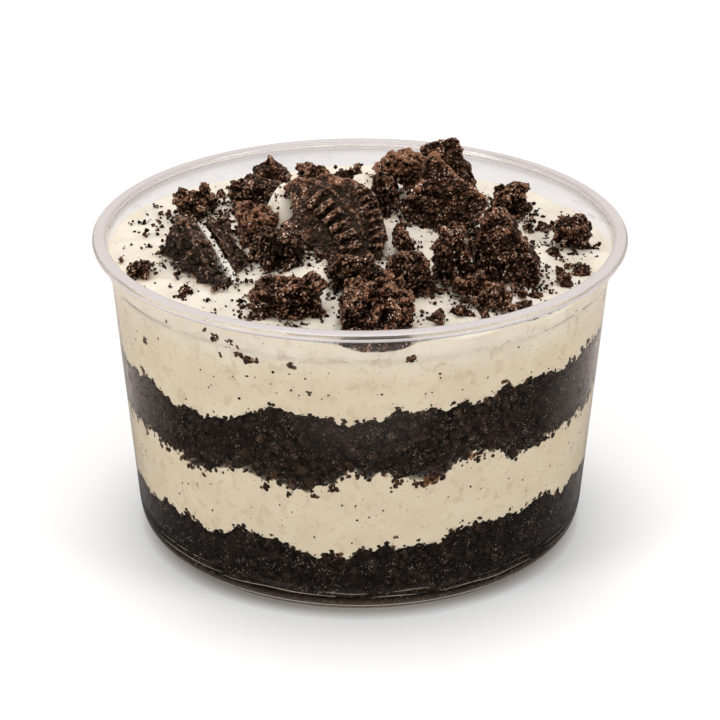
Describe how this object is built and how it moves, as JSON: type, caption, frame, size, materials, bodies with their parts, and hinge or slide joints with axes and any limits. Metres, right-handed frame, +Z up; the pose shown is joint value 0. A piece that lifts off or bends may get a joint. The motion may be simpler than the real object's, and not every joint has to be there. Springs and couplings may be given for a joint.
{
  "type": "cookies and cream cheesecake pot",
  "caption": "Chilled dessert in a clear plastic pot: dark cookie crumb and cream cheese filling in layers, topped with a heap of broken chocolate sandwich cookies.",
  "frame": {"origin": "centre of the base, on the surface that the pot stands on", "axes": "+Z up along the pot's axis; -Y towards the viewer of the picture, +X to the viewer's right"},
  "size_m": [0.101, 0.101, 0.0732],
  "materials": {
    "pot": "clear polished plastic",
    "cream": "soft satin cream",
    "crumb": "moist dark crumb",
    "cookie": "dry sandy cookie",
    "filling": "smooth sugar cream"
  },
  "bodies": {
    "root": {"pot": "pot", "crumb_base": "crumb", "cream_lower": "cream", "crumb_middle": "crumb", "cream_upper": "cream", "sandwich_wafer_outer": "cookie", "sandwich_filling": "filling", "sandwich_wafer_inner": "cookie", "wafer_front_ribbed": "cookie", "wafer_right_peak": "cookie", "wafer_back_upright": "cookie", "chunk_right_pyramid": "cookie", "chunk_front_wall": "cookie", "chunk_front_left_bar": "cookie", "chunk_under_ribbed_left": "cookie", "chunk_under_ribbed_right": "cookie", "chunk_middle_right": "cookie", "chunk_left_dark": "cookie", "chunk_left_brown": "cookie", "chunk_left_back_layered": "cookie", "chunk_left_back_knobbly": "cookie", "chunk_back_left": "cookie", "chunk_back_middle_left": "cookie", "chunk_back_middle": "cookie", "chunk_back_top_brown": "cookie", "chunk_centre_small": "cookie", "chunk_right_back_round": "cookie", "chunk_right_edge": "cookie", "chunk_front_right_low": "cookie", "chunk_front_right_small": "cookie", "chunk_centre_crumb": "cookie", "chunk_left_edge_small": "cookie"}
  },
  "joints": []
}
